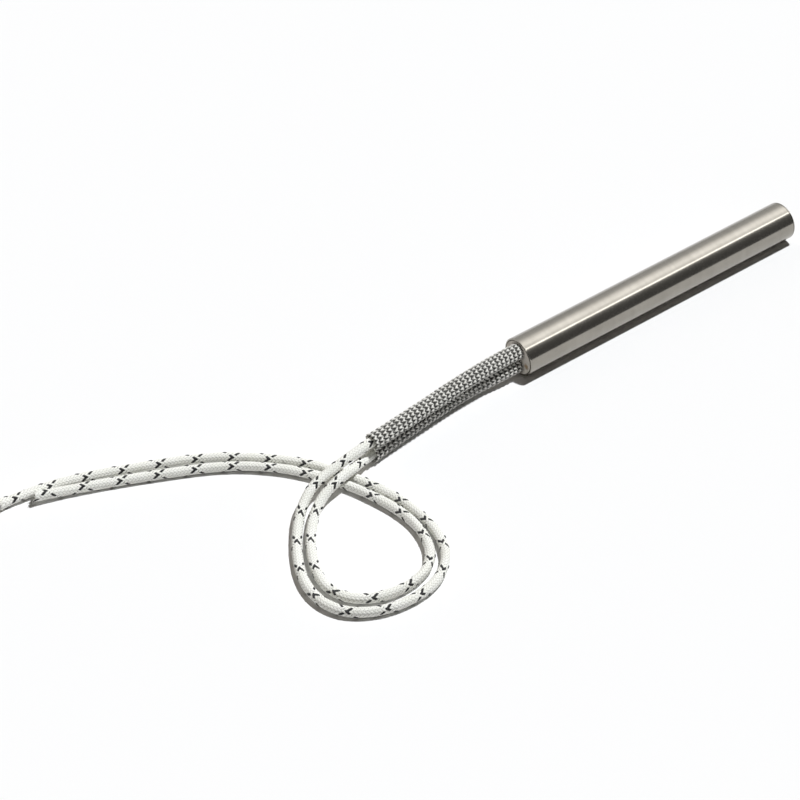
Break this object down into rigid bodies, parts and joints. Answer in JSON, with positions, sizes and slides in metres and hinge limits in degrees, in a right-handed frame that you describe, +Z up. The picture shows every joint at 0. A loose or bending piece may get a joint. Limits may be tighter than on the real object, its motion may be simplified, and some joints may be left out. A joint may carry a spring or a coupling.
{
  "type": "cartridge heater",
  "caption": "Slim round cartridge heater: ground steel sheath closed at one end, wound element packed inside, sleeved and braided leads out of the other end.",
  "frame": {"origin": "on the surface that the heater lies on, under the middle of the sheath", "axes": "+X along the sheath towards its closed end, +Z up; the leads leave at the -X end"},
  "size_m": [0.2107, 0.0837, 0.01],
  "materials": {
    "steel": "centreless ground",
    "nickel": "drawn",
    "resistance_wire": "oxidised",
    "ceramic": "fired, unglazed",
    "powder": "packed powder",
    "mica": "cleaved sheet",
    "cement": "cast cement",
    "lead_braid": "varnished glass-fibre braid with black tracers",
    "sleeve_braid": "grey glass-fibre braid"
  },
  "bodies": {
    "root": {"sheath": "steel", "end_plug": "steel", "end_washer": "ceramic", "core_1": "ceramic", "core_2": "ceramic", "core_3": "ceramic", "core_4": "ceramic", "core_5": "ceramic", "resistance_coil": "resistance_wire", "powder_fill": "powder", "long_pin": "nickel", "short_pin": "nickel", "crimp_a": "nickel", "crimp_b": "nickel", "terminal_bush": "ceramic", "mica_washer": "mica", "lead_bush": "ceramic", "seal": "cement", "conductor_a": "nickel", "conductor_b": "nickel", "lead_a": "lead_braid", "lead_b": "lead_braid", "sleeve_a": "sleeve_braid", "sleeve_b": "sleeve_braid"}
  },
  "joints": []
}
